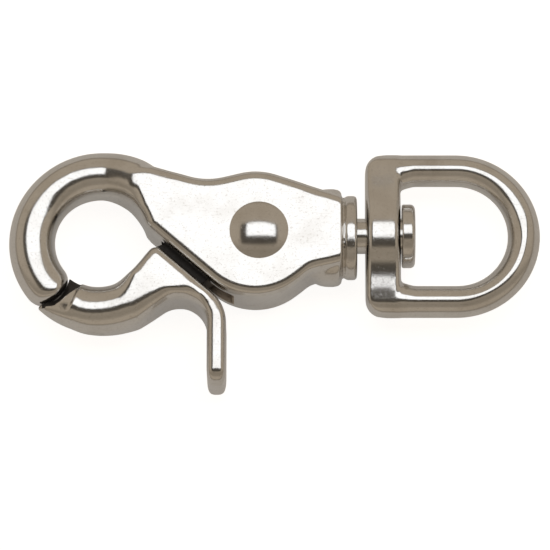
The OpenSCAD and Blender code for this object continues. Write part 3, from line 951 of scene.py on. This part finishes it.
def drawn_wire():
    """Bare spring wire."""
    material, start = new_material("drawn_wire")
    place = start.node("ShaderNodeTexCoord", output="Object")
    lines = start.node("ShaderNodeTexNoise", Vector=place, Scale=900, Detail=2)
    dull = 0.25 + lines * 0.1
    shader = start.node("ShaderNodeBsdfPrincipled", Base_Color=WIRE_GREY, Metallic=1.0, Roughness=dull)
    start.node("ShaderNodeOutputMaterial", Surface=shader)
    return material


def dress(piece, material, body, node):
    """Gives a piece its metal, in place of its CAD node, on the body that carries it."""
    piece.data.materials.clear()
    piece.data.materials.append(material)
    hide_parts(node)
    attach(piece, body)


nickel = polished_nickel()
slot_shade = painted_slot_shade()
body = hook_body()
dress(body, nickel, "body", "hook_body")
# Painted shade in the body's slot
darken(body, slot_shade, in_slot)
jaw = trigger_jaw()
dress(jaw, nickel, "jaw", "trigger_jaw")
# Painted shade on the jaw's tongue and on its seat under the hook's end
darken(jaw, slot_shade, lambda middle, normal: on_tongue(middle, normal) or on_seat(middle, normal))
dress(pivot_rivet(), nickel, "body", "pivot_rivet")
dress(swivel_stud(), nickel, "body", "swivel_stud")
dress(swivel_eye(), nickel, "eye", "swivel_eye")
spring = frame["nodes"]["torsion_spring"]
spring.data.materials.clear()
spring.data.materials.append(drawn_wire())


# Table, light and camera, in metres

# Brightness of the table to the camera, and how much of it the metal mirrors
TABLE_SHOWN = 0.88
TABLE_MIRRORED = 0.25
PAPER = (0.5, 0.45, 0.38, 1)
WALL = (0.435, 0.375, 0.3, 1)
SOFTBOX_PLACE = (0.04, 0.139, 0.6)
SOFTBOX_TINT = (0.94, 0.965, 1.0)
# The camera looks at this point, tilted towards the trigger's side, at a picture this wide
LOOKED_AT = Vector((-30.69, -6.78, 0)) * MM
CAMERA_TILT = math.radians(15)
CAMERA_DISTANCE = 0.8
PICTURE_W = 0.09304


def white_table():
    """Table that shows white, with the snap's soft shadow on it."""
    bpy.ops.object.select_all(action="DESELECT")
    bpy.ops.mesh.primitive_plane_add(size=6, location=(0, 0, cad_low.z))
    table = bpy.context.object
    table.name = "table"
    material, start = new_material("white_table")
    seen = start.node("ShaderNodeLightPath", output="Is Camera Ray")
    mirrored = start.node("ShaderNodeLightPath", output="Is Glossy Ray")
    through = start.node("ShaderNodeLightPath", output="Is Transmission Ray")
    paper = start.node("ShaderNodeBsdfDiffuse", Color=PAPER)
    shown = start.math("MAXIMUM", seen, through) + mirrored * TABLE_MIRRORED
    glow = start.node("ShaderNodeEmission", Color=(1, 1, 1, 1), Strength=shown * TABLE_SHOWN)
    surface = start.node("ShaderNodeAddShader", _0=paper, _1=glow)
    start.node("ShaderNodeOutputMaterial", Surface=surface)
    table.data.materials.append(material)


def room():
    """Warm grey walls, darker near the table's edge, on the near side and in a frame round the softbox."""
    world = bpy.data.worlds.new("room")
    world.use_nodes = True
    world.node_tree.nodes.clear()
    start = Value(world.node_tree, None)
    direction = start.node("ShaderNodeTexCoord", output="Generated")
    x, y, z = (start.node("ShaderNodeSeparateXYZ", output=i, Vector=direction) for i in range(3))
    above = start.math("MAXIMUM", z, 0.02)
    across = x / above
    along = y / above

    def between(value, low, high, soft):
        rise = start.node("ShaderNodeMapRange", Value=value, From_Min=low - soft, From_Max=low + soft)
        fall = start.node("ShaderNodeMapRange", Value=value, From_Min=high + soft, From_Max=high - soft)
        return rise * fall

    frame_dark = between(across, -0.95, 0.95, 0.06) * between(along, -0.45, 0.6, 0.08)
    edge_light = start.node("ShaderNodeMapRange", Value=z, From_Min=0.05, From_Max=0.16)
    near_side = between(along, -1.7, -0.5, 0.3)
    wall = (1 - frame_dark * 0.83) * (1 - near_side * 0.3) * (0.6 + edge_light * 0.4)
    light = start.node("ShaderNodeBackground", Color=WALL, Strength=wall)
    start.node("ShaderNodeOutputWorld", Surface=light)
    bpy.context.scene.world = world


def softbox():
    """One wide lamp overhead, hidden from the camera, whose mirror image lies on the flats."""
    data = bpy.data.lights.new("softbox", "AREA")
    data.shape = "RECTANGLE"
    data.size = 0.80
    data.size_y = 0.36
    data.energy = 1.36
    data.color = SOFTBOX_TINT
    lamp = bpy.data.objects.new("softbox", data)
    lamp.location = SOFTBOX_PLACE
    lamp.visible_camera = False
    bpy.context.scene.collection.objects.link(lamp)


def photo_camera():
    """Camera above the snap, where the photo was taken from."""
    data = bpy.data.cameras.new("camera")
    data.lens = data.sensor_width * CAMERA_DISTANCE / PICTURE_W
    data.clip_start = 0.01
    data.clip_end = 20
    camera = bpy.data.objects.new("camera", data)
    back = Vector((0, -math.sin(CAMERA_TILT), math.cos(CAMERA_TILT)))
    camera.location = LOOKED_AT + CAMERA_DISTANCE * back
    camera.rotation_euler = (CAMERA_TILT, 0, 0)
    bpy.context.scene.collection.objects.link(camera)
    bpy.context.scene.camera = camera


white_table()
room()
softbox()
photo_camera()
bpy.context.scene.view_settings.view_transform = "Standard"
